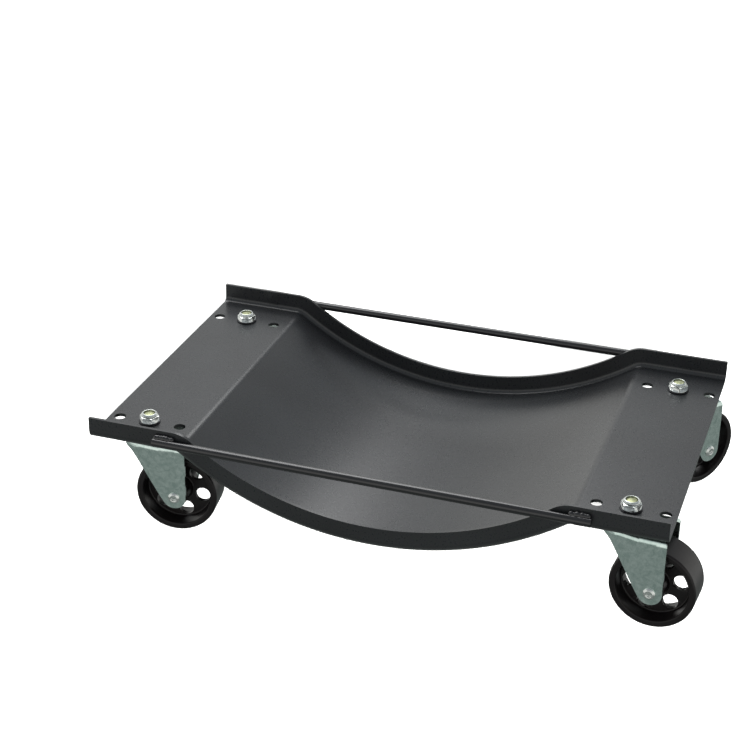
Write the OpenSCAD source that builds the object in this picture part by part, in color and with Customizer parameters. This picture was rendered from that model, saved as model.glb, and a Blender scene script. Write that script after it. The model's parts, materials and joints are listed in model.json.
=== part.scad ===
// Wheel dolly: a pressed steel deck with a round cradle for a tyre, on four swivel casters.
// Millimetres, +Z up. The floor is z = 0 and the origin lies under the middle of the whole dolly.
// X runs along the cradle's curve, Y across it.

/* [Deck] */
// Length of the deck
deck_l = 530; // [420:1:640]
// Width of the deck across its flanges
deck_w = 324; // [270:1:400]
// Sheet thickness of the deck
plate_t = 3; // [2:0.5:5]
// Length of each flat end panel
flat_l = 86; // [80:1:110]
// Radius of the cradle's top surface
cradle_r = 302; // [290:1:420]
// Height of the flange's top above the panel's underside
flange_h = 21; // [18:0.5:28]
// Outer radius of the bend between panel and flange
deck_bend = 8; // [5:0.5:8]

/* [Stiffening rods] */
// Diameter of a rod
rod_d = 8; // [6:0.5:10]
// Length of rod that lies on each flat panel's flange
rod_grip = 21; // [12:1:30]
// Height of a rod's centre above the panel's underside
rod_h = 10.5; // [8:0.5:12]
// Radius of a weld bead beside a rod's end
weld_r = 3; // [1.5:0.1:3.2]

/* [Corner holes] */
// Kingpin's distance in from the deck's end
kingpin_in_x = 40; // [38:1:48]
// Kingpin's distance in from the flange's outer face
kingpin_in_y = 43.5; // [38:0.5:60]
// Distance between the two spare holes beside a kingpin
spare_gap = 60; // [52:1:64]
// Diameter of a spare hole
spare_d = 11; // [8:0.5:13]

/* [Kingpin] */
// Shank diameter of the kingpin
kingpin_d = 10; // [8:1:12]
// Width across flats of the kingpin's nut and head
nut_af = 16; // [14:1:19]
// Height of the locking nut
nut_h = 8.5; // [8:0.5:12]
// Height of the kingpin's head
king_head_h = 6; // [4:0.5:7]
// Thickness of the washer under the nut
washer_t = 1; // [0.8:0.1:2.5]
// Diameter of the washer under the nut
washer_d = 20; // [20:0.5:24]

/* [Swivel bearing] */
// Radius of the upper ball circle
upper_ring_r = 15; // [14:0.5:16]
// Diameter of an upper ball
upper_ball_d = 5.6; // [5:0.1:6]
// Number of upper balls
upper_balls_n = 14; // [10:1:15]
// Radius of the lower ball circle
lower_ring_r = 10; // [9.5:0.5:11]
// Diameter of a lower ball
lower_ball_d = 4; // [3.5:0.1:4.5]
// Number of lower balls
lower_balls_n = 12; // [8:1:14]
// Distance from the deck's underside to the top of the fork
fork_drop = 8; // [8:0.5:10]

/* [Fork] */
// Sheet thickness of the fork
fork_t = 3; // [2.5:0.5:4]
// Inside width between the fork's legs
fork_inner_w = 42; // [40:0.5:50]
// Radius of the fork's round nose
nose_r = 20; // [19:0.5:21]
// Distance from the kingpin to the vertical bend in each leg
bend_x = 15; // [12:1:18]
// Radius of the leg's round foot
foot_r = 11; // [9:0.5:12]
// Depth of the skirt around the nose, below the fork's top
nose_skirt = 9; // [6:0.5:12]
// Radius of the corner at the leg's upper rear
leg_corner_r = 5; // [2:0.5:8]
// Radius of the bend along the top of each leg
bend_r = 6; // [3:0.5:6.5]

/* [Wheel and axle] */
// Wheel diameter
wheel_d = 77; // [70:1:78]
// Width of the wheel's rim
wheel_w = 32; // [28:1:34]
// Thickness of the rim's ring
rim_t = 7; // [5:0.5:8]
// Thickness of the wheel's web
web_t = 4; // [3:0.5:8]
// Diameter of the wheel's hub
hub_d = 23; // [21:0.5:25]
// Length of the wheel's hub
hub_l = 36; // [34:0.5:38]
// Number of lightening holes in the web
holes_n = 6; // [4:1:6]
// Radius of the circle the lightening holes lie on
hole_ring_r = 22.5; // [20:0.5:23]
// Diameter of a lightening hole
hole_d = 14; // [8:0.5:14.5]
// Distance from the kingpin's axis back to the axle
trail = 28; // [26:1:32]
// Distance from the deck's underside down to the axle
axle_drop = 61.5; // [60:0.5:68]
// Diameter of the axle
axle_d = 8; // [6:0.5:9]
// Outer diameter of the sleeve on the axle
sleeve_d = 12; // [11:0.5:13]
// Outer diameter of the wheel's bush
bush_d = 16; // [15:0.5:17]
// Diameter of the axle's rivet heads
rivet_d = 11; // [9:0.5:13]
// Height of the axle's rivet heads
rivet_h = 2.2; // [1.5:0.1:3]

/* [Rest pose] */
// Swivel angle of each caster: near left, near right, far left, far right
swing = [8, -4.5, 18, 53]; // [-180:0.5:180]
// Turn of each wheel on its axle, in the same order
spin = [16, -10, 25, 14]; // [-180:1:180]

/* [Clearances] */
// Radial clearance of a piece that turns on another
run_fit = 0.05; // [0.02:0.01:0.1]
// Radial clearance of a bolt or rivet in its hole
bolt_fit = 0.2; // [0.1:0.05:0.5]
// Gap between faces that turn past each other
face_gap = 0.3; // [0.2:0.05:0.5]

/* [Hidden] */
CORNERS = ["near_left", "near_right", "far_left", "far_right"];
PIECES = [
    "top_race", "upper_balls", "lower_balls", "lower_race", "kingpin", "kingpin_washer",
    "kingpin_nut", "fork", "axle", "axle_sleeve", "side_washers", "wheel", "wheel_bush"
];
eps = 0.01;
reach = 1000;
$fn = 96;

// Deck: half sizes and the cradle's arc.
half_l = deck_l / 2;
half_w = deck_w / 2;
crease_x = half_l - flat_l;
crease_angle = asin(crease_x / cradle_r);
arc_z = plate_t + cradle_r * cos(crease_angle);

// Rods: they rest against the outer faces of the flanges.
rod_l = 2 * (crease_x + rod_grip);
rod_y = half_w + rod_d / 2;
weld_y = half_w + weld_r * 0.6;
weld_z = rod_h + rod_d / 2;

// Casters: levels below the deck's underside.
wheel_r = wheel_d / 2;
deck_z = wheel_r + axle_drop;
kingpin_x = half_l - kingpin_in_x;
kingpin_y = half_w - kingpin_in_y;
upper_z = -(fork_drop - upper_ball_d / 2 + 0.6);
fork_under = -(fork_drop + fork_t);
lower_z = fork_under - lower_ball_d / 2 + 0.5;
race_t = -upper_z - upper_ball_d / 2 + 0.6;
lower_race_top = lower_z - lower_ball_d / 2 + 0.5;
lower_race_under = lower_race_top - 3;
race_r = upper_ring_r + upper_ball_d / 2 + 2.7;
lower_race_r = lower_ring_r + lower_ball_d / 2 + 1.8;
race_lip = 1.7;
fork_outer_w = fork_inner_w + 2 * fork_t;
nose_x = -3;
fork_back = trail + foot_r;
washer_gap = (fork_inner_w - hub_l) / 2;
hex_r = nut_af / 2 / cos(30);

// Where the casters and the rods reach, so that the origin can sit under the middle.
corner_x = [-kingpin_x, kingpin_x, -kingpin_x, kingpin_x];
corner_y = [-kingpin_y, -kingpin_y, kingpin_y, kingpin_y];
wheel_cx = [for (i = [0:3]) corner_x[i] + trail * cos(swing[i])];
wheel_cy = [for (i = [0:3]) corner_y[i] + trail * sin(swing[i])];
wheel_hx = [for (a = swing) wheel_r * abs(cos(a)) + wheel_w / 2 * abs(sin(a))];
wheel_hy = [for (a = swing) wheel_r * abs(sin(a)) + wheel_w / 2 * abs(cos(a))];
rods_y = rod_y + rod_d / 2;
high_x = max(half_l, max(wheel_cx + wheel_hx));
low_x = min(-half_l, min(wheel_cx - wheel_hx));
high_y = max(rods_y, max(wheel_cy + wheel_hy));
low_y = min(-rods_y, min(wheel_cy - wheel_hy));
shift_x = -(high_x + low_x) / 2;
shift_y = -(high_y + low_y) / 2;

module deck_place() {
    translate([shift_x, shift_y, deck_z]) children();
}

// A caster's own frame: the kingpin is the Z axis, the deck's underside is z = 0, the wheel trails at +X.
module caster_place(i) {
    deck_place() translate([corner_x[i], corner_y[i], 0]) rotate([0, 0, swing[i]]) children();
}

// The wheel's own frame: its axle is the Z axis.
module axle_place() {
    translate([trail, 0, -axle_drop]) rotate([-90, 0, 0]) children();
}

// The deck seen from the side, as a solid block: only the flanges' top line is shaped.
module deck_side() {
    difference() {
        translate([-half_l, arc_z - cradle_r - plate_t]) square([deck_l, cradle_r - arc_z + plate_t + flange_h]);
        translate([0, arc_z]) circle(r = cradle_r + plate_t - flange_h, $fn = 360);
        tip_cut([crease_x, plate_t], flange_h - plate_t, 90, 90 + crease_angle);
        tip_cut([-crease_x, plate_t], flange_h - plate_t, 90 - crease_angle, 90);
    }
}

// A block standing on height `low` across the deck, [y, height], with its two lower corners rounded.
module round_block(half, low, high, r) {
    difference() {
        translate([-half, low]) square([2 * half, high - low]);
        tip_cut([half - r, low + r], r, 270, 360);
        tip_cut([r - half, low + r], r, 180, 270);
    }
}

// Everything under the sheet and around its two bends, [y, height].
module under_sheet() {
    difference() {
        translate([-half_w - 1, -reach / 5]) square([deck_w + 2, reach / 5 + deck_bend]);
        round_block(half_w, 0, flange_h, deck_bend);
    }
}

// The space over the sheet, between the flanges, [y, height].
module over_sheet(high) {
    round_block(half_w - plate_t, plate_t, high, deck_bend - plate_t);
}

// Carries a section [y, height above the underside] along the flat panels.
module along_flats() {
    rotate([90, 0, 90]) linear_extrude(reach, center = true) children();
}

// Carries it round the cradle's arc.
module along_arc() {
    translate([0, 0, arc_z]) rotate([90, 0, 0]) rotate_extrude($fn = 360)
        translate([cradle_r + plate_t, 0]) rotate(90) children();
}

// Pressed from one sheet. The cuts along the flats and round the arc meet in each crease.
module deck() {
    color("dimgray") deck_place() difference() {
        rotate([90, 0, 0]) linear_extrude(deck_w, center = true) deck_side();
        intersection() {
            along_flats() under_sheet();
            along_arc() under_sheet();
        }
        along_flats() over_sheet(reach);
        along_arc() over_sheet(cradle_r);
        for (i = [0:3]) {
            translate([corner_x[i], corner_y[i], -1]) {
                cylinder(d = kingpin_d + 2 * bolt_fit, h = plate_t + 2);
                for (side = [-1, 1]) {
                    translate([side * spare_gap / 2, 0, 0]) cylinder(d = spare_d, h = plate_t + 2);
                }
            }
        }
    }
}

module rod(side) {
    color("#26262a") deck_place() translate([-rod_l / 2, side * rod_y, rod_h])
        rotate([0, 90, 0]) cylinder(d = rod_d, h = rod_l);
}

// Four short beads in the groove between each rod's end and its flange.
module rod_welds() {
    color("#2c2c30") deck_place() difference() {
        for (x = [-1, 1], y = [-1, 1]) {
            for (k = [0:3]) {
                translate([x * (crease_x + 3 + k * (rod_grip - 6) / 3), y * weld_y, weld_z])
                    sphere(r = weld_r, $fn = 32);
            }
            translate([x * (crease_x + rod_grip / 2), y * weld_y, weld_z]) rotate([0, 90, 0])
                cylinder(r = weld_r * 0.8, h = rod_grip - 6, center = true, $fn = 32);
        }
        for (y = [-1, 1]) {
            translate([-reach / 2, y * rod_y, rod_h]) rotate([0, 90, 0]) cylinder(d = rod_d, h = reach);
        }
        cube([reach, deck_w, reach], center = true);
    }
}

// Pressed cup under the deck: a disc with a ball groove and a lip that hides the balls.
module top_race() {
    color("#3a3a3e") difference() {
        union() {
            translate([0, 0, -race_t]) cylinder(r = race_r, h = race_t);
            translate([0, 0, -fork_drop + face_gap * 2]) difference() {
                cylinder(r = race_r, h = fork_drop - face_gap * 2);
                translate([0, 0, -1]) cylinder(r = race_r - race_lip, h = fork_drop);
            }
        }
        translate([0, 0, -race_t - 1]) cylinder(d = kingpin_d + 2 * bolt_fit, h = race_t + 2);
        ball_groove(upper_ring_r, upper_ball_d, upper_z);
    }
}

module lower_race() {
    color("#3a3a3e") difference() {
        union() {
            translate([0, 0, lower_race_under])
                cylinder(r = lower_race_r, h = lower_race_top - lower_race_under);
            translate([0, 0, lower_race_under]) difference() {
                cylinder(r = lower_race_r, h = fork_under - face_gap * 2 - lower_race_under);
                translate([0, 0, 1]) cylinder(r = lower_race_r - race_lip / 2, h = reach);
            }
        }
        translate([0, 0, lower_race_under - 1]) cylinder(d = kingpin_d + 2 * bolt_fit, h = 10);
        ball_groove(lower_ring_r, lower_ball_d, lower_z);
    }
}

module ball_groove(ring_r, ball_d, z) {
    translate([0, 0, z]) rotate_extrude() translate([ring_r, 0]) circle(d = ball_d + 2 * run_fit, $fn = 48);
}

// A ring of balls in a thin flat cage.
module ball_ring(ring_r, ball_d, count, z, cage_t) {
    color("silver") translate([0, 0, z]) {
        for (k = [0:count - 1]) {
            rotate([0, 0, k * 360 / count]) translate([ring_r, 0, 0]) sphere(d = ball_d, $fn = 32);
        }
        difference() {
            cylinder(r = ring_r + ball_d * 0.3, h = cage_t, center = true);
            cylinder(r = ring_r - ball_d * 0.3, h = cage_t + 1, center = true);
        }
    }
}

// Shouldered bolt, head down, that the whole caster turns on.
module kingpin() {
    top = plate_t + washer_t + nut_h - 1;
    color("silver") union() {
        translate([0, 0, lower_race_under]) cylinder(d = kingpin_d, h = top - lower_race_under);
        translate([0, 0, lower_race_under - king_head_h]) cylinder(r = hex_r, h = king_head_h, $fn = 6);
    }
}

module kingpin_washer() {
    color("silver") translate([0, 0, plate_t]) difference() {
        cylinder(d = washer_d, h = washer_t);
        translate([0, 0, -1]) cylinder(d = kingpin_d + 2 * bolt_fit, h = washer_t + 2);
    }
}

// Hexagon with a round collar that holds the locking ring.
module kingpin_nut() {
    hex_h = nut_h * 0.7;
    color("gainsboro") translate([0, 0, plate_t + washer_t]) difference() {
        union() {
            cylinder(r = hex_r, h = hex_h, $fn = 6);
            cylinder(d = nut_af - 0.6, h = nut_h);
        }
        translate([0, 0, -1]) cylinder(d = kingpin_d + 2 * run_fit, h = nut_h + 2);
        translate([0, 0, nut_h - 1.2]) cylinder(d = kingpin_d + 3, h = 2);
    }
}

// What to cut from a sharp tip so that it ends in a circle that touches its sides at angles a1 and a2.
module tip_cut(centre, r, a1, a2) {
    function at(d, a) = centre + d * [cos(a), sin(a)];
    past = r + 2;
    difference() {
        polygon([
            at(r, a1), at(past, a1), at(past / cos((a2 - a1) / 2), (a1 + a2) / 2), at(past, a2), at(r, a2)
        ]);
        translate(centre) circle(r = r);
    }
}

// Outline of the fork seen from above: round nose, a bend in each side, straight to the back.
module fork_outline(half, nose, back) {
    a = atan2(half, bend_x - nose_x) + acos(nose / norm([bend_x - nose_x, half]));
    tip_x = nose_x + nose / cos(a);
    difference() {
        polygon([[tip_x, 0], [bend_x, half], [back, half], [back, -half], [bend_x, -half]]);
        tip_cut([nose_x, 0], nose, a, 360 - a);
    }
}

// Outline of a leg seen from the side, as [x, z]: straight back, slanting front, round foot.
module leg_outline() {
    front_x = nose_x - nose_r - 1;
    skirt = [nose_x - nose_r / 2, -(fork_drop + nose_skirt)];
    foot = [trail, -axle_drop];
    to_skirt = skirt - foot;
    a = atan2(to_skirt[1], to_skirt[0]) + acos(foot_r / norm(to_skirt));
    tip = foot + foot_r / cos((360 - a) / 2) * [cos((360 + a) / 2), sin((360 + a) / 2)];
    difference() {
        polygon([[front_x, -fork_drop], [fork_back, -fork_drop], [fork_back, tip[1]], skirt, [front_x, skirt[1]]]);
        tip_cut(foot, foot_r, a, 360);
        tip_cut([fork_back - leg_corner_r, -fork_drop - leg_corner_r], leg_corner_r, 0, 90);
    }
}

// The legs are bent down from the top with a round bend, seen from the back as [y, z].
module leg_section() {
    half = fork_outer_w / 2;
    difference() {
        translate([-half, -reach]) square([2 * half, reach - fork_drop]);
        tip_cut([half - bend_r, -fork_drop - bend_r], bend_r, 0, 90);
        tip_cut([bend_r - half, -fork_drop - bend_r], bend_r, 90, 180);
    }
}

module fork() {
    color("#8fa39f") difference() {
        intersection() {
            translate([0, 0, -100]) linear_extrude(100) fork_outline(fork_outer_w / 2, nose_r, fork_back);
            rotate([90, 0, 0]) linear_extrude(fork_outer_w + 2, center = true) leg_outline();
            rotate([90, 0, 90]) linear_extrude(200, center = true) leg_section();
        }
        translate([0, 0, -100 - fork_drop - fork_t]) linear_extrude(100)
            fork_outline(fork_inner_w / 2, nose_r - fork_t, fork_back + 1);
        translate([0, 0, -50]) cylinder(d = kingpin_d + 3, h = 60);
        ball_groove(upper_ring_r, upper_ball_d, upper_z);
        ball_groove(lower_ring_r, lower_ball_d, lower_z);
        axle_place() cylinder(d = axle_d + 2 * bolt_fit, h = fork_outer_w + 2, center = true);
    }
}

// Riveted axle with a low round head on each side of the fork.
module axle() {
    color("#9aa39f") axle_place() {
        cylinder(d = axle_d, h = fork_outer_w + eps, center = true);
        for (side = [0, 1]) {
            mirror([0, 0, side]) translate([0, 0, fork_outer_w / 2]) {
                cylinder(d = rivet_d, h = rivet_h * 0.6);
                cylinder(d = rivet_d * 0.7, h = rivet_h);
            }
        }
    }
}

module axle_sleeve() {
    color("silver") axle_place() difference() {
        cylinder(d = sleeve_d, h = fork_inner_w, center = true);
        cylinder(d = axle_d + 2 * bolt_fit, h = fork_inner_w + 2, center = true);
    }
}

module side_washers() {
    color("silver") axle_place() for (side = [0, 1]) {
        mirror([0, 0, side]) translate([0, 0, hub_l / 2 + face_gap]) difference() {
            cylinder(d = hub_d - 2, h = washer_gap - face_gap);
            translate([0, 0, -1]) cylinder(d = sleeve_d + 2 * bolt_fit, h = washer_gap + 2);
        }
    }
}

module wheel(turn) {
    recess_r = wheel_r - rim_t;
    color("#1c1c1e") axle_place() difference() {
        rotate_extrude() polygon([
            [bush_d / 2, -hub_l / 2], [hub_d / 2, -hub_l / 2], [hub_d / 2, -web_t / 2],
            [recess_r, -web_t / 2], [recess_r, -wheel_w / 2], [wheel_r - 1, -wheel_w / 2],
            [wheel_r, -wheel_w / 2 + 1], [wheel_r, wheel_w / 2 - 1], [wheel_r - 1, wheel_w / 2],
            [recess_r, wheel_w / 2], [recess_r, web_t / 2], [hub_d / 2, web_t / 2],
            [hub_d / 2, hub_l / 2], [bush_d / 2, hub_l / 2]
        ]);
        for (k = [0:holes_n - 1]) {
            rotate([0, 0, turn + k * 360 / holes_n]) translate([hole_ring_r, 0, 0])
                cylinder(d = hole_d, h = web_t + 2, center = true);
        }
    }
}

module wheel_bush() {
    color("#b08d57") axle_place() difference() {
        cylinder(d = bush_d, h = hub_l, center = true);
        cylinder(d = sleeve_d + 2 * run_fit, h = hub_l + 2, center = true);
    }
}

module piece(name, i) {
    if (name == "top_race") top_race();
    if (name == "upper_balls") ball_ring(upper_ring_r, upper_ball_d, upper_balls_n, upper_z, 0.8);
    if (name == "lower_balls") ball_ring(lower_ring_r, lower_ball_d, lower_balls_n, lower_z, 0.6);
    if (name == "lower_race") lower_race();
    if (name == "kingpin") kingpin();
    if (name == "kingpin_washer") kingpin_washer();
    if (name == "kingpin_nut") kingpin_nut();
    if (name == "fork") fork();
    if (name == "axle") axle();
    if (name == "axle_sleeve") axle_sleeve();
    if (name == "side_washers") side_washers();
    if (name == "wheel") wheel(spin[i]);
    if (name == "wheel_bush") wheel_bush();
}

deck();
rod(-1);  // near_rod
rod(1);  // far_rod
rod_welds();
for (i = [0:3], p = PIECES) {
    caster_place(i) piece(p, i);
}
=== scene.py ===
"""Looks of the wheel dolly: finished meshes, materials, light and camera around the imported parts.

Shapes are drawn in millimetres in the frame of the piece they belong to, and placed in metres.
"""

import json
import math

import bmesh
import bpy
import numpy as np
from mathutils import Matrix, Vector


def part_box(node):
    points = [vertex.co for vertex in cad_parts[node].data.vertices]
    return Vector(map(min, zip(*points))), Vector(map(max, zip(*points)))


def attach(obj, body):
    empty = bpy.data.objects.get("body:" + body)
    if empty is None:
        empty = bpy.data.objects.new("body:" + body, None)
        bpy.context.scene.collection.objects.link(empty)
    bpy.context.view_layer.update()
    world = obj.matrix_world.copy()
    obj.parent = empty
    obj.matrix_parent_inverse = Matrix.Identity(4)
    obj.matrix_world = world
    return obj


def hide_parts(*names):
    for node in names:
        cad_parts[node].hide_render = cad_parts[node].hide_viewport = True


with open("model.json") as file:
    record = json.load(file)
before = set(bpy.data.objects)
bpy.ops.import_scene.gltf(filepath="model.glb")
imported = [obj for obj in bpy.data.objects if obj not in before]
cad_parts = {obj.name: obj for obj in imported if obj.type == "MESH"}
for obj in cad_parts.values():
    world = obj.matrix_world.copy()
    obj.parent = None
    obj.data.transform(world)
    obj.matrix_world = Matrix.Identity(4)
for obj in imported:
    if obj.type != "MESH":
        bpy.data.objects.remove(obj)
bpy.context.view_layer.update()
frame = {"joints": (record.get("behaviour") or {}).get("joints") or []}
scene = bpy.context.scene
joints = {j["name"]: j for j in frame["joints"]}

MM = 0.001
CORNERS = ["near_left", "near_right", "far_left", "far_right"]

# Deck, in millimetres above the sheet's underside.
PLATE_T = 3.0
FLANGE_H = 21.0
BEND_R = 8.0
FLAT_L = 86.0
CRADLE_R = 302.0
CREASE_R = 12.0
SPARE_GAP = 60.0
SPARE_D = 11.0
BORE_D = 10.4
EDGE_R = 0.5
WELD_R = 3.0
WELD_L = 15.0
WELD_IN = 3.0

# Caster: the kingpin is its Z axis and the deck's underside is z = 0.
NUT_AF = 16.0
HEX_CHAMFER = 1.1
NUT_H = 8.5
HEX_H = 6.0
COLLAR_R = 7.7
WASHER_T = 1.0
WASHER_R = 10.0
KINGPIN_R = 5.0
KINGPIN_TOP = 11.5
HEAD_H = 6.0
RACE_T = 3.6
RACE_R = 20.5
UPPER_RING = {"radius": 15.0, "ball": 5.6, "count": 14, "z": -5.8, "cage": 0.8}
LOWER_RING = {"radius": 10.0, "ball": 4.0, "count": 12, "z": -12.5, "cage": 0.6}
LOWER_RACE = {"radius": 13.8, "top": -14.0, "under": -17.0, "lip_top": -11.6}
GROOVE_GAP = 0.05
BOLT_FIT = 0.2

# Fork
FORK_TOP = -8.0
FORK_T = 3.0
FORK_HALF = 24.0
NOSE_R = 20.0
NOSE_X = -3.0
SIDE_BEND_X = 15.0
FORK_BACK = 39.0
FOOT_R = 11.0
SKIRT = (-13.0, -17.0)
CORNER_R = 5.0
ROLL_R = 6.0
TRAIL = 28.0
AXLE_Z = -61.5

# Wheel and axle: the axle is the Z axis.
WHEEL_R = 38.5
WHEEL_HALF = 16.0
RECESS_R = 31.5
WEB_HALF = 2.0
HUB_R = 11.5
HUB_HALF = 18.0
HOLES_N = 6
HOLE_D = 14.0
HOLE_RING_R = 22.5
WHEEL_TURN = {"near_left": 16.0, "near_right": -10.0, "far_left": 25.0, "far_right": 14.0}
BUSH_R = 8.0
SLEEVE_R = 6.0
AXLE_R = 4.0
RIVET_R = 5.5
RIVET_H = 2.2


# ---------------------------------------------------------------- places

deck_low, deck_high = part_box("deck")
half_l = (deck_high.x - deck_low.x) / 2 / MM
half_w = (deck_high.y - deck_low.y) / 2 / MM
underside = joints["near_left_swivel"]["pos_m"][2]
deck_place = Matrix.Translation(
    ((deck_low.x + deck_high.x) / 2, (deck_low.y + deck_high.y) / 2, underside)
)


def caster_place(corner):
    """The caster's own frame at rest: the wheel trails along its X axis."""
    pivot = Vector(joints[corner + "_swivel"]["pos_m"])
    wheel = Vector(joints[corner + "_wheel_spin"]["pos_m"])
    angle = math.atan2(wheel.y - pivot.y, wheel.x - pivot.x)
    return Matrix.Translation(pivot) @ Matrix.Rotation(angle, 4, "Z")


def axle_place(corner):
    """The wheel's own frame: the axle is its Z axis."""
    to_axle = Matrix.Translation((TRAIL * MM, 0, AXLE_Z * MM))
    return caster_place(corner) @ to_axle @ Matrix.Rotation(math.radians(-90), 4, "X")


# ---------------------------------------------------------------- camera

# Angles in degrees, lengths in millimetres; the view turns about the middle of the deck's underside.
VIEW_AZIMUTH = 17.852
VIEW_ELEVATION = 26.597
VIEW_ROLL = 1.26
VIEW_DISTANCE = 1666.4
VIEW_SLIDE = (42.65, -31.52)
LENS = 84.45


def make_camera():
    """A long lens, looking down on the deck from the right of its near side."""
    az, el, roll = (math.radians(a) for a in (VIEW_AZIMUTH, VIEW_ELEVATION, VIEW_ROLL))
    back = Vector((math.sin(az) * math.cos(el), -math.cos(az) * math.cos(el), math.sin(el)))
    level = Vector((0, 0, 1)).cross(back).normalized()
    rise = back.cross(level)
    right = level * math.cos(roll) + rise * math.sin(roll)
    up = rise * math.cos(roll) - level * math.sin(roll)
    data = bpy.data.cameras.new("camera")
    data.sensor_width = 36
    data.lens = LENS
    data.clip_start, data.clip_end = 0.05, 50
    camera = bpy.data.objects.new("camera", data)
    scene.collection.objects.link(camera)
    turn = Matrix((right, up, back)).transposed().to_4x4()
    offset = back * VIEW_DISTANCE - right * VIEW_SLIDE[0] - up * VIEW_SLIDE[1]
    camera.matrix_world = Matrix.Translation(deck_place.translation + offset * MM) @ turn
    scene.camera = camera


make_camera()


# ---------------------------------------------------------------- mesh tools


def solid(points, faces):
    """A mesh of the points, with its doubles merged and its faces turned outwards."""
    mesh = bpy.data.meshes.new("work")
    mesh.from_pydata([tuple(p) for p in points], [], [tuple(f) for f in faces])
    build = bmesh.new()
    build.from_mesh(mesh)
    bmesh.ops.remove_doubles(build, verts=build.verts, dist=1e-4)
    bmesh.ops.recalc_face_normals(build, faces=build.faces)
    build.to_mesh(mesh)
    build.free()
    return mesh


def fillet(corners, radii, steps=5):
    """A closed outline through the corners, each rounded with its own radius."""
    corners = [np.array(c, float) for c in corners]
    outline = []
    for i, (corner, radius) in enumerate(zip(corners, radii)):
        if radius == 0:
            outline.append(corner)
            continue
        before = corners[i - 1] - corner
        after = corners[(i + 1) % len(corners)] - corner
        before, after = before / np.linalg.norm(before), after / np.linalg.norm(after)
        half = math.acos(np.clip(before @ after, -1, 1)) / 2
        middle = before + after
        centre = corner + middle / np.linalg.norm(middle) * radius / math.sin(half)
        start = corner + before * radius / math.tan(half) - centre
        end = corner + after * radius / math.tan(half) - centre
        sweep = math.atan2(start[0] * end[1] - start[1] * end[0], start @ end)
        for k in range(steps + 1):
            c, s = math.cos(sweep * k / steps), math.sin(sweep * k / steps)
            outline.append(centre + np.array([c * start[0] - s * start[1], s * start[0] + c * start[1]]))
    return outline


def arc(centre, radius, first, last, steps):
    """Points of a circle from one angle to another, in degrees."""
    angles = np.radians(np.linspace(first, last, steps + 1))
    return [(centre[0] + radius * math.cos(a), centre[1] + radius * math.sin(a)) for a in angles]


def lathe(outline, sides=96):
    """A closed outline [radius, height] turned round the Z axis. It may touch the axis."""
    points, rings, faces = [], [], []
    for radius, height in outline:
        around = sides if radius > 1e-6 else 1
        rings.append([len(points) + k for k in range(around)])
        angles = [2 * math.pi * k / sides for k in range(around)]
        points += [(radius * math.cos(a), radius * math.sin(a), height) for a in angles]
    for low, high in zip(rings, rings[1:] + rings[:1]):
        if len(low) == 1 and len(high) == 1:
            continue
        for k in range(sides):
            m = (k + 1) % sides
            quad = [low[k % len(low)], low[m % len(low)], high[m % len(high)], high[k % len(high)]]
            faces.append(list(dict.fromkeys(quad)))
    return solid(points, faces)


def punch(radius, low, high, sides=48):
    """A plain round tool that cuts a hole."""
    return lathe([(0, low), (radius, low), (radius, high), (0, high)], sides)


def loft(sections):
    """A closed solid through equal rings of points, with a flat face at each end."""
    count = len(sections[0])
    points = [p for section in sections for p in section]
    faces = [list(range(count)), list(range(len(points) - count, len(points)))]
    for s in range(len(sections) - 1):
        for k in range(count):
            m = (k + 1) % count
            faces.append([s * count + k, s * count + m, (s + 1) * count + m, (s + 1) * count + k])
    return solid(points, faces)


def bar(outline, half, axis="Y"):
    """A flat outline [x, y] made thick both ways along Z, or an outline [x, z] along Y."""
    ends = []
    for side in (-half, half):
        ends.append([(x, side, y) if axis == "Y" else (x, y, side) for x, y in outline])
    return loft(ends)


def modified(mesh, kind, **settings):
    """The mesh as one modifier makes it."""
    work = bpy.data.objects.new("work", mesh)
    scene.collection.objects.link(work)
    modifier = work.modifiers.new("work", kind)
    for name, value in settings.items():
        setattr(modifier, name, value)
    evaluated = work.evaluated_get(bpy.context.evaluated_depsgraph_get())
    result = bpy.data.meshes.new_from_object(evaluated)
    bpy.data.objects.remove(work)
    return result


def combined(mesh, tool, operation="DIFFERENCE"):
    """The mesh cut with, or kept within, a tool mesh."""
    cutter = bpy.data.objects.new("tool", tool)
    scene.collection.objects.link(cutter)
    result = modified(mesh, "BOOLEAN", object=cutter, solver="EXACT", operation=operation)
    bpy.data.objects.remove(cutter)
    return result


def softened(mesh, width, segments=2, angle=50):
    """The mesh with its sharp edges rounded, and flat faces that stay flat to the eye."""
    mesh = modified(
        mesh, "BEVEL", width=width, segments=segments, limit_method="ANGLE",
        angle_limit=math.radians(angle), use_clamp_overlap=True,
    )
    mesh.shade_smooth()
    return modified(mesh, "WEIGHTED_NORMAL", weight=100, keep_sharp=True)


def moved(mesh, place):
    """A copy of the mesh, moved."""
    copy = mesh.copy()
    copy.transform(place)
    return copy


def joined(*meshes):
    """One mesh that holds several."""
    build = bmesh.new()
    for mesh in meshes:
        build.from_mesh(mesh)
    result = bpy.data.meshes.new("work")
    build.to_mesh(result)
    build.free()
    return result


def piece(name, mesh, place, body, nodes, material, sharp=None):
    """Places a finished mesh in the frame, in metres, and lets it stand for its CAD nodes."""
    mesh.name = name
    mesh.transform(place @ Matrix.Scale(MM, 4))
    mesh.materials.clear()
    mesh.materials.append(material)
    mesh.shade_smooth()
    if sharp is not None:
        mesh.set_sharp_from_angle(angle=math.radians(sharp))
    obj = bpy.data.objects.new(name, mesh)
    scene.collection.objects.link(obj)
    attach(obj, body)
    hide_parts(*nodes)
    return obj


# ---------------------------------------------------------------- node tools


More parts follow.
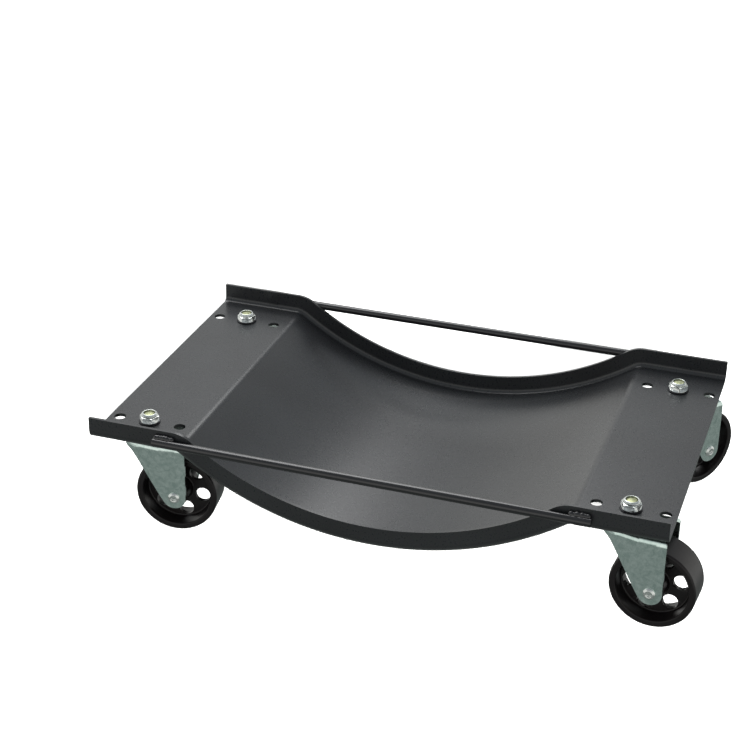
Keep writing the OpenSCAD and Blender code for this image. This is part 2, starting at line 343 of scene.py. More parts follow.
def add(tree, kind, settings=None, inputs=None):
    """Adds a node with its settings. An input is a value, or the socket that feeds it."""
    node = tree.nodes.new(kind)
    for name, value in (settings or {}).items():
        setattr(node, name, value)
    for socket, value in (inputs or {}).items():
        if isinstance(value, bpy.types.NodeSocket):
            tree.links.new(value, node.inputs[socket])
        else:
            node.inputs[socket].default_value = value
    return node


def geometry_tree(name, sockets):
    """An empty geometry tree with named inputs, and the group input and output nodes."""
    tree = bpy.data.node_groups.new(name, "GeometryNodeTree")
    tree.interface.new_socket("Geometry", in_out="INPUT", socket_type="NodeSocketGeometry")
    for label, kind in sockets.items():
        tree.interface.new_socket(label, in_out="INPUT", socket_type="NodeSocket" + kind)
    tree.interface.new_socket("Geometry", in_out="OUTPUT", socket_type="NodeSocketGeometry")
    return tree, tree.nodes.new("NodeGroupInput"), tree.nodes.new("NodeGroupOutput")


def grown(tree, mesh, **values):
    """The mesh that a geometry tree makes of a mesh."""
    work = bpy.data.objects.new("work", mesh)
    scene.collection.objects.link(work)
    modifier = work.modifiers.new("work", "NODES")
    modifier.node_group = tree
    for item in tree.interface.items_tree:
        if item.in_out == "INPUT" and item.name in values:
            modifier[item.identifier] = values[item.name]
    evaluated = work.evaluated_get(bpy.context.evaluated_depsgraph_get())
    result = bpy.data.meshes.new_from_object(evaluated)
    bpy.data.objects.remove(work)
    return result


def ring_tree():
    """Sets copies of the mesh on a circle: bearing balls, or the punches for a ring of holes."""
    tree, given, made = geometry_tree(
        "ring of copies", {"Count": "Int", "Radius": "Float", "Turn": "Float", "Finish": "Material"}
    )
    circle = add(tree, "GeometryNodeMeshCircle", None, {
        "Vertices": given.outputs["Count"], "Radius": given.outputs["Radius"]})
    points = add(tree, "GeometryNodeMeshToPoints", None, {"Mesh": circle.outputs["Mesh"]})
    copies = add(tree, "GeometryNodeInstanceOnPoints", None, {
        "Points": points.outputs["Points"], "Instance": given.outputs["Geometry"]})
    real = add(tree, "GeometryNodeRealizeInstances", None, {"Geometry": copies.outputs["Instances"]})
    spin = add(tree, "ShaderNodeCombineXYZ", None, {"Z": given.outputs["Turn"]})
    turned = add(tree, "GeometryNodeTransform", None, {
        "Geometry": real.outputs["Geometry"], "Rotation": spin.outputs["Vector"]})
    finish = add(tree, "GeometryNodeSetMaterial", None, {
        "Geometry": turned.outputs["Geometry"], "Material": given.outputs["Finish"]})
    tree.links.new(finish.outputs["Geometry"], made.inputs["Geometry"])
    return tree


def bead_tree():
    """A run of overlapping weld puddles along X: each copy has its own size and a small shift."""
    tree, given, made = geometry_tree(
        "weld bead", {"Count": "Int", "Length": "Float", "Shift": "Float", "Seed": "Int",
                      "Finish": "Material"}
    )
    end = add(tree, "ShaderNodeCombineXYZ", None, {"X": given.outputs["Length"]})
    line = add(tree, "GeometryNodeMeshLine", {"mode": "END_POINTS"}, {
        "Count": given.outputs["Count"], "Offset": end.outputs["Vector"]})
    points = add(tree, "GeometryNodeMeshToPoints", None, {"Mesh": line.outputs["Mesh"]})
    shift = add(tree, "FunctionNodeRandomValue", {"data_type": "FLOAT_VECTOR"}, {
        "Min": (-1, -1, -1), "Max": (1, 1, 1), "Seed": given.outputs["Seed"]})
    scaled = add(tree, "ShaderNodeVectorMath", {"operation": "SCALE"}, {
        0: shift.outputs["Value"], "Scale": given.outputs["Shift"]})
    placed = add(tree, "GeometryNodeSetPosition", None, {
        "Geometry": points.outputs["Points"], "Offset": scaled.outputs["Vector"]})
    size = add(tree, "FunctionNodeRandomValue", {"data_type": "FLOAT"}, {
        2: 0.78, 3: 1.12, "Seed": given.outputs["Seed"]})
    copies = add(tree, "GeometryNodeInstanceOnPoints", None, {
        "Points": placed.outputs["Geometry"], "Instance": given.outputs["Geometry"],
        "Scale": size.outputs[1]})
    real = add(tree, "GeometryNodeRealizeInstances", None, {"Geometry": copies.outputs["Instances"]})
    finish = add(tree, "GeometryNodeSetMaterial", None, {
        "Geometry": real.outputs["Geometry"], "Material": given.outputs["Finish"]})
    tree.links.new(finish.outputs["Geometry"], made.inputs["Geometry"])
    return tree


# ---------------------------------------------------------------- materials


def linear(code, alpha=1.0):
    """An sRGB hex colour as the linear colour that a shader takes."""
    values = [int(code[k:k + 2], 16) / 255 for k in (1, 3, 5)]
    return [v / 12.92 if v <= 0.04045 else ((v + 0.055) / 1.055) ** 2.4 for v in values] + [alpha]


def per_mm(millimetres):
    """The scale that makes one cell of a pattern that many millimetres wide."""
    return 1 / (millimetres * MM)


def surface(name, **inputs):
    """A material with a Principled shader, its object coordinates and its tree."""
    material = bpy.data.materials.new(name)
    material.use_nodes = True
    tree = material.node_tree
    tree.nodes.clear()
    shader = add(tree, "ShaderNodeBsdfPrincipled", None, inputs)
    out = add(tree, "ShaderNodeOutputMaterial")
    tree.links.new(shader.outputs["BSDF"], out.inputs["Surface"])
    place = add(tree, "ShaderNodeTexCoord").outputs["Object"]
    return material, tree, shader, place


def powder_coat():
    """Dark grey polyester powder coat, baked: satin, with a fine pebbled skin and no metal."""
    material, tree, shader, place = surface("powder_coat", Metallic=0.0, IOR=1.5)
    broad = add(tree, "ShaderNodeTexNoise", None, {"Vector": place, "Scale": per_mm(90), "Detail": 3.0})
    tint = add(tree, "ShaderNodeValToRGB", None, {"Fac": broad.outputs["Fac"]})
    tint.color_ramp.elements[0].position = 0.3
    tint.color_ramp.elements[0].color = linear("#1f2022")
    tint.color_ramp.elements[1].position = 0.7
    tint.color_ramp.elements[1].color = linear("#282a2c")
    speck = add(tree, "ShaderNodeTexNoise", None, {
        "Vector": place, "Scale": per_mm(2.2), "Detail": 2.0, "Roughness": 0.6})
    grain = add(tree, "ShaderNodeMix", {"data_type": "RGBA", "blend_type": "OVERLAY"}, {
        "Factor": 0.18, 6: tint.outputs["Color"], 7: speck.outputs["Color"]})
    tree.links.new(grain.outputs[2], shader.inputs["Base Color"])
    rough = add(tree, "ShaderNodeMapRange", None, {
        "Value": speck.outputs["Fac"], "To Min": 0.24, "To Max": 0.33})
    tree.links.new(rough.outputs["Result"], shader.inputs["Roughness"])
    pebble = add(tree, "ShaderNodeTexNoise", None, {
        "Vector": place, "Scale": per_mm(1.4), "Detail": 2.0, "Roughness": 0.5})
    bump = add(tree, "ShaderNodeBump", None, {
        "Strength": 0.35, "Distance": 0.05 * MM, "Height": pebble.outputs["Fac"]})
    tree.links.new(bump.outputs["Normal"], shader.inputs["Normal"])
    return material


def gloss_paint(name, code, roughness, grain_mm, depth_mm, shine):
    """Black enamel, sprayed: glossy, with a soft orange-peel skin of the given grain."""
    material, tree, shader, place = surface(name, **{
        "Metallic": 0.0, "IOR": 1.45, "Specular IOR Level": shine})
    smear = add(tree, "ShaderNodeTexNoise", None, {"Vector": place, "Scale": per_mm(14), "Detail": 4.0})
    tint = add(tree, "ShaderNodeHueSaturation", None, {
        "Color": linear(code), "Value": smear.outputs["Fac"]})
    lift = add(tree, "ShaderNodeMix", {"data_type": "RGBA"}, {
        "Factor": 0.35, 6: linear(code), 7: tint.outputs["Color"]})
    tree.links.new(lift.outputs[2], shader.inputs["Base Color"])
    rough = add(tree, "ShaderNodeMapRange", None, {
        "Value": smear.outputs["Fac"], "To Min": roughness - 0.05, "To Max": roughness + 0.09})
    tree.links.new(rough.outputs["Result"], shader.inputs["Roughness"])
    peel = add(tree, "ShaderNodeTexNoise", None, {
        "Vector": place, "Scale": per_mm(grain_mm), "Detail": 2.0, "Roughness": 0.45})
    bump = add(tree, "ShaderNodeBump", None, {
        "Strength": 0.4, "Distance": depth_mm * MM, "Height": peel.outputs["Fac"]})
    tree.links.new(bump.outputs["Normal"], shader.inputs["Normal"])
    return material


def zinc_plate(name, dark, light, roughness, mottle_mm):
    """Electroplated zinc with a passivation film: cloudy metal whose tint drifts between two colours."""
    material, tree, shader, place = surface(name, Metallic=1.0)
    cloud = add(tree, "ShaderNodeTexNoise", None, {
        "Vector": place, "Scale": per_mm(mottle_mm), "Detail": 3.0, "Roughness": 0.6, "Distortion": 0.6})
    tint = add(tree, "ShaderNodeValToRGB", None, {"Fac": cloud.outputs["Fac"]})
    tint.color_ramp.elements[0].position = 0.34
    tint.color_ramp.elements[0].color = linear(dark)
    tint.color_ramp.elements[1].position = 0.66
    tint.color_ramp.elements[1].color = linear(light)
    tree.links.new(tint.outputs["Color"], shader.inputs["Base Color"])
    rough = add(tree, "ShaderNodeMapRange", None, {
        "Value": cloud.outputs["Fac"], "To Min": roughness - 0.05, "To Max": roughness + 0.07})
    tree.links.new(rough.outputs["Result"], shader.inputs["Roughness"])
    grit = add(tree, "ShaderNodeTexNoise", None, {
        "Vector": place, "Scale": per_mm(mottle_mm / 4), "Detail": 3.0, "Roughness": 0.6})
    bump = add(tree, "ShaderNodeBump", None, {
        "Strength": 0.12, "Distance": 0.03 * MM, "Height": grit.outputs["Fac"]})
    tree.links.new(bump.outputs["Normal"], shader.inputs["Normal"])
    return material


def turned_metal(name, code, roughness):
    """Ground or turned metal: clean, with fine uneven polish."""
    material, tree, shader, place = surface(name, Metallic=1.0)
    shader.inputs["Base Color"].default_value = linear(code)
    polish = add(tree, "ShaderNodeTexNoise", None, {"Vector": place, "Scale": per_mm(1.2), "Detail": 3.0})
    rough = add(tree, "ShaderNodeMapRange", None, {
        "Value": polish.outputs["Fac"], "To Min": roughness - 0.05, "To Max": roughness + 0.08})
    tree.links.new(rough.outputs["Result"], shader.inputs["Roughness"])
    return material


def nylon():
    """Moulded nylon, coloured dark grey: the locking ring in a nut. Smooth, waxy, no metal."""
    material, tree, shader, place = surface("nylon", Roughness=0.42)
    cloud = add(tree, "ShaderNodeTexNoise", None, {"Vector": place, "Scale": per_mm(3), "Detail": 2.0})
    tint = add(tree, "ShaderNodeMix", {"data_type": "RGBA"}, {
        "Factor": cloud.outputs["Fac"], 6: linear("#1c1d20"), 7: linear("#2b2c30")})
    tree.links.new(tint.outputs[2], shader.inputs["Base Color"])
    return material


POWDER_COAT = powder_coat()
ROD_PAINT = gloss_paint("rod_enamel", "#1a1a1d", 0.2, 1.8, 0.03, 0.7)
WHEEL_PAINT = gloss_paint("wheel_enamel", "#1b1718", 0.34, 2.4, 0.08, 0.3)
FORK_ZINC = zinc_plate("blue_passivated_zinc", "#b6c8c2", "#d2e0db", 0.2, 5.0)
BRIGHT_ZINC = zinc_plate("bright_zinc", "#b9bebb", "#dfe2df", 0.26, 3.0)
BOLT_ZINC = zinc_plate("yellow_passivated_zinc", "#868a66", "#b2b692", 0.34, 2.5)
# A dark grey steel for the flat washers under the nuts and for the bearing cups.
DARK_STEEL = turned_metal("dark_steel", "#2b2b2e", 0.42)
BEARING_STEEL = turned_metal("bearing_steel", "#c3c5c7", 0.16)
BRONZE = turned_metal("sintered_bronze", "#9c774a", 0.42)
NYLON = nylon()


# ---------------------------------------------------------------- deck

ring_of = ring_tree()
bead_of = bead_tree()


def deck_stations():
    """Along the deck's side view: the sheet's top point [x, z] and the direction up from it."""
    crease_x = half_l - FLAT_L
    arc_z = PLATE_T + CRADLE_R * math.cos(math.asin(crease_x / CRADLE_R))
    pivot = np.array([0.0, PLATE_T - CREASE_R])
    pivot[0] = math.sqrt((CRADLE_R + CREASE_R) ** 2 - (arc_z - pivot[1]) ** 2)
    slope = math.asin(pivot[0] / (CRADLE_R + CREASE_R))
    stations = [(np.array([x, PLATE_T]), np.array([0.0, 1.0])) for x in np.linspace(half_l, pivot[0], 8)]
    for angle in np.linspace(0, slope, 9)[1:-1]:
        up = np.array([-math.sin(angle), math.cos(angle)])
        stations.append((pivot + CREASE_R * up, up))
    for angle in np.linspace(slope, 0, 61):
        up = np.array([-math.sin(angle), math.cos(angle)])
        stations.append((np.array([0, arc_z]) - CRADLE_R * up, up))
    flip = np.array([-1.0, 1.0])
    return [(at * flip, up * flip) for at, up in stations] + stations[-2::-1]


def deck_outline():
    """The sheet's section across the deck, [y, height above the underside]."""
    inner = half_w - PLATE_T
    bend = [BEND_R, BEND_R, 0, 0, BEND_R - PLATE_T, BEND_R - PLATE_T, 0, 0]
    corners = [(-half_w, 0), (half_w, 0), (half_w, FLANGE_H), (inner, FLANGE_H), (inner, PLATE_T),
               (-inner, PLATE_T), (-inner, FLANGE_H), (-half_w, FLANGE_H)]
    return fillet(corners, bend, 10)


def corner_spots():
    """Each kingpin's place on the deck, in millimetres from its middle."""
    to_deck = deck_place.inverted()
    return {c: (to_deck @ Vector(joints[c + "_swivel"]["pos_m"])) / MM for c in CORNERS}


def make_deck():
    """One sheet: the section across it, carried along the flats, the creases and the cradle."""
    outline = deck_outline()
    sections = []
    for at, up in deck_stations():
        spots = [at + (height - PLATE_T) * up for _, height in outline]
        sections.append([(spot[0], y, spot[1]) for spot, (y, _) in zip(spots, outline)])
    mesh = loft(sections)
    for spot in corner_spots().values():
        for shift, bore in ((-SPARE_GAP / 2, SPARE_D), (0, BORE_D), (SPARE_GAP / 2, SPARE_D)):
            tool = punch(bore / 2, -PLATE_T, 2 * PLATE_T)
            mesh = combined(mesh, moved(tool, Matrix.Translation((spot.x + shift, spot.y, 0))))
    mesh = softened(mesh, EDGE_R, 3, 60)
    return piece("deck_sheet", mesh, deck_place, "deck", ["deck"], POWDER_COAT)


def make_rod(node):
    """A straight round bar along the deck's side, as its box gives it."""
    low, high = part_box(node)
    length = (high.x - low.x) / MM
    radius = (high.z - low.z) / 2 / MM
    outline = fillet([(0, 0), (radius, 0), (radius, length), (0, length)], [0, 0.6, 0.6, 0], 4)
    along = Matrix.Translation((low.x, (low.y + high.y) / 2, (low.z + high.z) / 2))
    lay = along @ Matrix.Rotation(math.radians(90), 4, "Y")
    piece(node + "_bar", lathe(outline, 48), lay, "deck", [node], ROD_PAINT, 40)


def make_welds():
    """A bead at each end of both rods: overlapping puddles, melted together."""
    low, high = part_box("near_rod")
    rod_end = (high.x - low.x) / 2 / MM
    rod_top = high.z / MM - underside / MM
    puddle = lathe([(WELD_R * math.cos(a), WELD_R * math.sin(a)) for a in
                    np.linspace(-math.pi / 2, math.pi / 2, 9)], 16)
    beads = []
    for k, (x_side, y_side) in enumerate([(-1, -1), (1, -1), (-1, 1), (1, 1)]):
        bead = grown(bead_of, puddle, Count=7, Length=WELD_L, Shift=0.3, Seed=k + 3)
        x = x_side * (rod_end - WELD_IN - WELD_L / 2) - WELD_L / 2
        y = y_side * (half_w + WELD_R * 0.6)
        beads.append(moved(bead, Matrix.Translation((x, y, rod_top))))
    mesh = modified(joined(*beads), "REMESH", mode="VOXEL", voxel_size=0.35)
    mesh = modified(mesh, "SMOOTH", factor=0.5, iterations=3)
    piece("rod_weld_beads", mesh, deck_place, "deck", ["rod_welds"], ROD_PAINT)


# ---------------------------------------------------------------- kingpin and bearing


def hexagon(across, low, high, chamfer):
    """A hexagon prism whose six corners are turned off top and bottom, as on a nut."""
    point = across / 2 / math.cos(math.pi / 6)
    prism = bar([(point * math.cos(k * math.pi / 3), point * math.sin(k * math.pi / 3)) for k in range(6)],
                (high - low) / 2, "Z")
    prism.transform(Matrix.Translation((0, 0, (low + high) / 2)))
    flat = across / 2 * 0.97
    turned = lathe([(0, low), (flat, low), (point + 0.2, low + chamfer), (point + 0.2, high - chamfer),
                    (flat, high), (0, high)], 96)
    return combined(prism, turned, "INTERSECT")


def make_nut(corner, place):
    """A lock nut: a hexagon with a round collar that is rolled in over a nylon ring."""
    base = PLATE_T + WASHER_T
    hexagonal = hexagon(NUT_AF, base, base + HEX_H, HEX_CHAMFER)
    hexagonal = combined(hexagonal, punch(KINGPIN_R + 0.02, base - 1, base + NUT_H, 64))
    hexagonal = softened(hexagonal, 0.25, 2, 25)
    top = base + NUT_H
    step = base + HEX_H - 0.6
    inside = COLLAR_R - 1.6
    lip = COLLAR_R - 2.2
    shoulder = top - 1.4
    collar = lathe(fillet(
        [(inside, step), (COLLAR_R, step), (COLLAR_R, shoulder), (COLLAR_R - 1.5, top), (lip, top),
         (lip, top - 1.0), (inside, shoulder)], [0, 0, 1.0, 0.6, 0.3, 0.2, 0], 5), 96)
    piece(corner + "_lock_nut", joined(hexagonal, collar), place, "deck", [corner + "_kingpin_nut"],
          BRIGHT_ZINC)
    bore, edge = KINGPIN_R + 0.05, COLLAR_R - 1.7
    low, high = top - 2.6, top - 1.2
    ring = lathe(fillet([(bore, low), (edge, low), (edge, high), (bore, high)], [0, 0, 0.3, 0.5], 4), 64)
    piece(corner + "_nut_insert", ring, place, "deck", [], NYLON)


def make_kingpin(corner, place):
    """A hexagon bolt, head down, whose turned grooves stand for its thread."""
    under = LOWER_RACE["under"]
    pitch, depth, crests = 1.5, 0.45, 8
    outline = [(0, under), (KINGPIN_R, under)]
    thread_low = KINGPIN_TOP - crests * pitch
    for k in range(crests):
        z = thread_low + k * pitch
        outline += [(KINGPIN_R, z), (KINGPIN_R - depth, z + pitch * 0.5), (KINGPIN_R, z + pitch * 0.85)]
    outline += [(KINGPIN_R, KINGPIN_TOP - 1.0), (KINGPIN_R - 0.9, KINGPIN_TOP - 0.1),
                (KINGPIN_R - 1.4, KINGPIN_TOP), (0, KINGPIN_TOP)]
    head = softened(hexagon(NUT_AF, under - HEAD_H, under, HEX_CHAMFER), 0.25, 2, 25)
    mesh = joined(lathe(outline, 48), head)
    piece(corner + "_kingpin_bolt", mesh, place, "deck", [corner + "_kingpin"],
          BOLT_ZINC, 35)


def make_washer(corner, place):
    """The dark flat washer under the nut."""
    bore, top = KINGPIN_R + BOLT_FIT, PLATE_T + WASHER_T
    outline = fillet([(bore, PLATE_T), (WASHER_R, PLATE_T), (WASHER_R, top), (bore, top)],
                     [0.1, 0.1, 0.35, 0.1], 4)
    piece(corner + "_flat_washer", lathe(outline, 72), place, "deck", [corner + "_kingpin_washer"],
          DARK_STEEL, 40)


def groove(ring, at_z, over):
    """Points of a ball groove cut into a face at height at_z: over the balls, or under them."""
    radius = ring["ball"] / 2 + GROOVE_GAP
    rise = abs(at_z - ring["z"])
    lean = math.degrees(math.asin(rise / radius))
    centre = (ring["radius"], ring["z"])
    if over:
        return arc(centre, radius, lean, 180 - lean, 10)
    return arc(centre, radius, 180 + lean, 360 - lean, 10)


def make_races(corner, place):
    """Two pressed cups with ball grooves: one under the deck, one under the fork."""
    inner = KINGPIN_R + BOLT_FIT
    lip = FORK_TOP + 0.6
    wall = 1.7
    rim = fillet([(inner, 0), (RACE_R, 0), (RACE_R, lip), (RACE_R - wall, lip), (RACE_R - wall, -RACE_T),
                  (inner, -RACE_T)], [0, 1.4, 0.5, 0.5, 0.8, 0], 6)
    upper = lathe(rim[:-1] + groove(UPPER_RING, -RACE_T, True) + rim[-1:], 96)
    piece(corner + "_upper_cup", upper, place, "deck", [corner + "_top_race"],
          DARK_STEEL, 40)
    race = LOWER_RACE
    outer, wall = race["radius"], 0.85
    rim = fillet([(inner, race["top"]), (inner, race["under"]), (outer, race["under"]),
                  (outer, race["lip_top"]), (outer - wall, race["lip_top"]), (outer - wall, race["top"])],
                 [0, 0, 1.2, 0.3, 0.3, 0.4], 6)
    lower = lathe(rim + groove(LOWER_RING, race["top"], False)[::-1], 96)
    piece(corner + "_lower_cup", lower, place, "deck", [corner + "_lower_race"],
          DARK_STEEL, 40)


def make_balls(corner, place, node, ring):
    """A ring of bearing balls in a thin flat cage."""
    radius = ring["ball"] / 2
    ball = lathe([(radius * math.cos(a), radius * math.sin(a)) for a in
                  np.linspace(-math.pi / 2, math.pi / 2, 13)], 20)
    balls = grown(ring_of, ball, Count=ring["count"], Radius=ring["radius"], Turn=0.0)
    half, reach = ring["cage"] / 2, ring["ball"] * 0.3
    cage = lathe(fillet([(ring["radius"] - reach, -half), (ring["radius"] + reach, -half),
                         (ring["radius"] + reach, half), (ring["radius"] - reach, half)],
                        [0.15] * 4, 2), 72)
    mesh = moved(joined(balls, cage), Matrix.Translation((0, 0, ring["z"])))
    name = corner + "_" + node.replace("balls", "ball_ring")
    piece(name, mesh, place, corner + "_balls", [corner + "_" + node], BEARING_STEEL, 40)


# ---------------------------------------------------------------- fork


def fork_path():
    """The fork's outline seen from above, one side, from the back to the nose: [x, y]."""
    corner = np.array([SIDE_BEND_X - NOSE_X, FORK_HALF])
    touch = math.atan2(corner[1], corner[0]) + math.acos(NOSE_R / np.linalg.norm(corner))
    start = np.array([NOSE_X + NOSE_R * math.cos(touch), NOSE_R * math.sin(touch)])
    back = [(FORK_BACK - (FORK_BACK - SIDE_BEND_X - 2) * (1 - math.cos(t)), FORK_HALF)
            for t in np.linspace(0, math.pi / 2, 22)]
    bent = fillet([(SIDE_BEND_X + 20, FORK_HALF), (SIDE_BEND_X, FORK_HALF), tuple(start)], [0, 9, 0], 4)
    slant_from = bent[-2]
    slant = [slant_from + (start - slant_from) * k / 10 for k in range(1, 11)]
    nose = arc((NOSE_X, 0), NOSE_R, math.degrees(touch), 180, 26)[1:]
    return [np.array(p, float) for p in back] + bent[1:-1] + slant + [np.array(p) for p in nose]


def leg_bottom(x):
    """How far down the leg reaches at x: round foot, straight front, and a curve into the skirt."""
    foot = np.array([TRAIL, AXLE_Z])
    away = np.array(SKIRT) - foot
    touch = math.atan2(away[1], away[0]) + math.acos(FOOT_R / np.linalg.norm(away))
    front = foot + FOOT_R * np.array([math.cos(touch), math.sin(touch)])
    if x > front[0]:
        return foot[1] - math.sqrt(max(FOOT_R ** 2 - (x - foot[0]) ** 2, 0))
    slope = (SKIRT[1] - front[1]) / (SKIRT[0] - front[0])
    line = front[1] + slope * (x - front[0])
    blend = 3.0
    return -blend * math.log(math.exp(-line / blend) + math.exp(-SKIRT[1] / blend))


def leg_back(z):
    """How far back the fork reaches at height z: its upper rear corner is rounded."""
    over = z - (FORK_TOP - CORNER_R)
    if over <= 0:
        return FORK_BACK
    return FORK_BACK - CORNER_R + math.sqrt(max(CORNER_R ** 2 - over ** 2, 0))


def make_fork(corner, place):
    """One bent sheet: a flat top rolled over into two legs and a round nose, then given its thickness."""
    half = fork_path()
    path = half + [p * np.array([1, -1]) for p in half[-2::-1]]
    normals = []
    for i, at in enumerate(path):
        before, after = path[max(i - 1, 0)], path[min(i + 1, len(path) - 1)]
        along = (after - before) / np.linalg.norm(after - before)
        normals.append(np.array([along[1], -along[0]]))
    if normals[0][1] < 0:
        normals = [-n for n in normals]
    wall_rows, roll_rows = 12, 7
    points = []
    for at, out in zip(path, normals):
        start = FORK_TOP - ROLL_R
        low = leg_bottom(at[0])
        rows = [(0.0, low + (start - low) * k / wall_rows) for k in range(wall_rows + 1)]
        for k in range(1, roll_rows + 1):
            angle = math.pi / 2 * k / roll_rows
            rows.append((ROLL_R * (1 - math.cos(angle)), start + ROLL_R * math.sin(angle)))
        for inset, z in rows:
            spot = at - out * inset
            if spot[0] > SIDE_BEND_X:
                share = (spot[0] - SIDE_BEND_X) / (FORK_BACK - SIDE_BEND_X)
                spot = np.array([SIDE_BEND_X + share * (leg_back(z) - SIDE_BEND_X), spot[1]])
            points.append((spot[0], spot[1], z))
    rows_n = wall_rows + roll_rows + 1
    faces = []
    for i in range(len(path) - 1):
        for k in range(rows_n - 1):
            a = i * rows_n + k
            faces.append([a, a + rows_n, a + rows_n + 1, a + 1])
    for i in range(len(half) - 1):
        j = len(path) - 1 - i
        ends = [i, i + 1, j - 1, j]
        faces.append(list(dict.fromkeys(e * rows_n + rows_n - 1 for e in ends)))
    shell = solid(points, faces)
    top = max(shell.polygons, key=lambda p: p.center.z)
    if top.normal.z < 0:
        shell.flip_normals()
    mesh = modified(shell, "SOLIDIFY", thickness=FORK_T, offset=-1, use_even_offset=True)
    bore = punch(KINGPIN_R + 1.5, FORK_TOP - 2 * FORK_T, FORK_TOP + 2, 64)
    mesh = softened(combined(mesh, bore), EDGE_R, 3, 60)
    piece(corner + "_fork_plate", mesh, place, corner + "_fork", [corner + "_fork"], FORK_ZINC)


# ---------------------------------------------------------------- wheel and axle


def make_wheel(corner, place):
    """A cast wheel with a rim, a recessed web with round holes, and a hub."""
    side = [(BUSH_R, HUB_HALF), (HUB_R, HUB_HALF), (HUB_R + 0.4, WEB_HALF), (RECESS_R - 0.4, WEB_HALF),
            (RECESS_R + 0.8, WHEEL_HALF), (WHEEL_R, WHEEL_HALF)]
    radii = [0.4, 1.0, 1.5, 1.5, 1.2, 2.0]
    corners = side + [(r, -z) for r, z in side[::-1]]
    mesh = lathe(fillet(corners, radii + radii[::-1], 6), 144)
    turn = math.radians(WHEEL_TURN[corner])
    hole = punch(HOLE_D / 2, -2 * WEB_HALF, 2 * WEB_HALF)
    tool = grown(ring_of, hole, Count=HOLES_N, Radius=HOLE_RING_R, Turn=turn)
    mesh = softened(combined(mesh, tool), 0.7, 3, 60)
    piece(corner + "_cast_wheel", mesh, place, corner + "_wheel", [corner + "_wheel"],
          WHEEL_PAINT)


def make_axle_parts(corner, place):
    """The riveted axle, its spacer tube, the hub's side washers and the bush."""
    face = FORK_HALF
    head = [(0, face + 0.9), (1.9, face + 0.9), (2.5, face + RIVET_H - 0.2), (3.6, face + RIVET_H),
            (4.9, face + 1.2), (RIVET_R, face + 0.7), (RIVET_R, face), (AXLE_R, face)]
    outline = head + [(r, -z) for r, z in head[::-1]]
    outline = fillet(outline, [0, 0.5, 0.4, 0.6, 0.6, 0.3, 0, 0, 0, 0, 0.3, 0.6, 0.6, 0.4, 0.5, 0], 4)
    body = corner + "_fork"
    piece(corner + "_axle_rivet", lathe(outline, 64), place, body, [corner + "_axle"],
          BRIGHT_ZINC, 50)
    inner, gap = AXLE_R + 0.2, FORK_HALF - FORK_T
    tube = fillet([(inner, -gap), (SLEEVE_R, -gap), (SLEEVE_R, gap), (inner, gap)], [0.2] * 4, 2)
    piece(corner + "_axle_tube", lathe(tube, 64), place, body, [corner + "_axle_sleeve"],
          BEARING_STEEL, 40)
    low, high, bore, rim = HUB_HALF + 0.3, gap, SLEEVE_R + 0.2, HUB_R - 1.0
    disc = fillet([(bore, low), (rim, low), (rim, high), (bore, high)], [0.2, 0.4, 0.2, 0.2], 3)
    washers = [lathe(disc, 72), lathe([(r, -z) for r, z in disc], 72)]
    piece(corner + "_hub_washers", joined(*washers), place, body, [corner + "_side_washers"],
          BRIGHT_ZINC, 40)
    sleeve = fillet([(SLEEVE_R + 0.05, -HUB_HALF), (BUSH_R, -HUB_HALF), (BUSH_R, HUB_HALF),
                     (SLEEVE_R + 0.05, HUB_HALF)], [0.3, 0, 0, 0.3], 3)
    piece(corner + "_hub_bush", lathe(sleeve, 64), place, corner + "_wheel", [corner + "_wheel_bush"],
          BRONZE, 40)


# ---------------------------------------------------------------- build

deck_sheet = make_deck()
make_rod("near_rod")
make_rod("far_rod")
make_welds()
for corner in CORNERS:
    place = caster_place(corner)
    make_nut(corner, place)
    make_kingpin(corner, place)
    make_washer(corner, place)
    make_races(corner, place)
    make_balls(corner, place, "upper_balls", UPPER_RING)
    make_balls(corner, place, "lower_balls", LOWER_RING)
    make_fork(corner, place)
    make_wheel(corner, axle_place(corner))
    make_axle_parts(corner, axle_place(corner))


# ---------------------------------------------------------------- floor and light


def make_floor():
    """A plain white floor that lights nothing back, so that upright faces stay dark."""
    mesh = bpy.data.meshes.new("floor")
    reach = 12.0  # metres
    mesh.from_pydata([(-reach, -reach, 0), (reach, -reach, 0), (reach, reach, 0), (-reach, reach, 0)],
                     [], [(0, 1, 2, 3)])
    floor = bpy.data.objects.new("floor", mesh)
    floor.location.z = -0.2 * MM
    floor.visible_glossy = False
    floor.visible_diffuse = False
    scene.collection.objects.link(floor)
    material, _, shader, _ = surface("floor", Roughness=0.9)
    shader.inputs["Base Color"].default_value = linear("#f4f4f2")
    mesh.materials.append(material)
    return floor


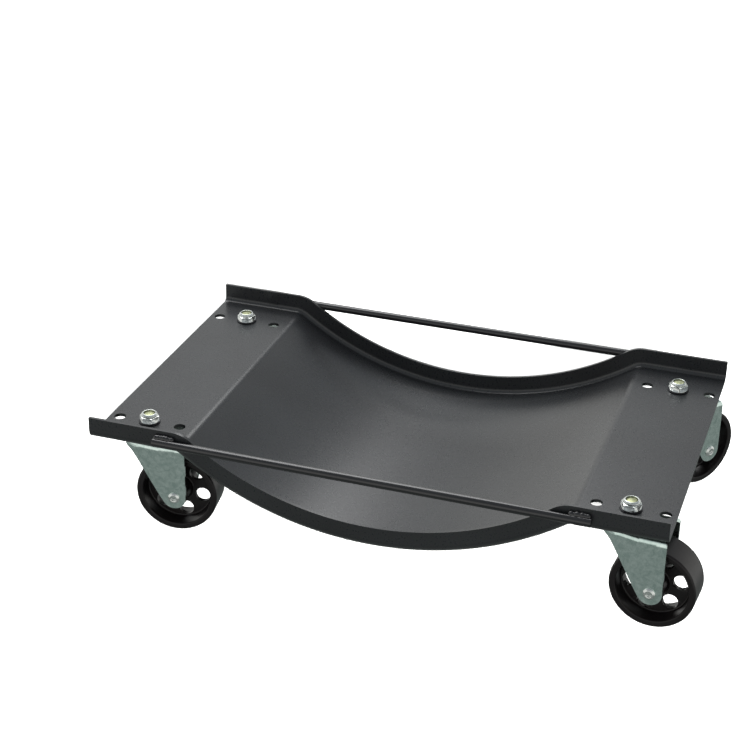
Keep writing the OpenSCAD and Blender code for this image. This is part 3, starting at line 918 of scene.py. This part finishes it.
def softbox(name, at, aim, size, power):
    """A soft white rectangle of light: places and sizes in metres, power in watts."""
    data = bpy.data.lights.new(name, "AREA")
    data.shape = "RECTANGLE"
    data.size, data.size_y = size
    data.energy = power
    lamp = bpy.data.objects.new(name, data)
    scene.collection.objects.link(lamp)
    at, aim = Vector(at), Vector(aim)
    lamp.matrix_world = Matrix.Translation(at) @ (aim - at).to_track_quat("-Z", "Y").to_matrix().to_4x4()
    return lamp


def light_floor(floor, shade):
    """A lamp for the floor alone, so that it reads as plain white, and the deck's shade falls behind."""
    wash = softbox("floor_wash", (1.71, -3.44, 1.67), (0, 0, 0), (0.2, 0.2), 700)
    lit = bpy.data.collections.new("floor_only")
    lit.objects.link(floor)
    blocking = bpy.data.collections.new("deck_only")
    blocking.objects.link(shade)
    wash.light_linking.receiver_collection = lit
    wash.light_linking.blocker_collection = blocking


light_floor(make_floor(), deck_sheet)
softbox("overhead", (-0.85, 1.05, 2.15), (0, 0, 0.1), (2.4, 1.6), 60)


def make_world():
    """A plain studio: pale walls all round near eye level, dimmer above, and a dim floor."""
    world = bpy.data.worlds.new("studio")
    scene.world = world
    world.use_nodes = True
    tree = world.node_tree
    tree.nodes.clear()
    way = add(tree, "ShaderNodeTexCoord").outputs["Generated"]
    height = add(tree, "ShaderNodeSeparateXYZ", None, {"Vector": way}).outputs["Z"]
    share = add(tree, "ShaderNodeMapRange", None, {"Value": height, "From Min": -1.0})
    walls = add(tree, "ShaderNodeValToRGB", None, {"Fac": share.outputs["Result"]})
    stops = [(0.32, "#868c8a"), (0.37, "#fbfbf8"), (0.66, "#fbfbf8"), (0.76, "#a2a7ab")]
    ramp = walls.color_ramp.elements
    while len(ramp) < len(stops):
        ramp.new(0.5)
    for stop, (position, code) in zip(ramp, stops):
        stop.position = position
        stop.color = linear(code)
    glow = add(tree, "ShaderNodeBackground", None, {"Color": walls.outputs["Color"], "Strength": 1.1})
    out = add(tree, "ShaderNodeOutputWorld")
    tree.links.new(glow.outputs["Background"], out.inputs["Surface"])


make_world()
scene.view_settings.view_transform = "Standard"
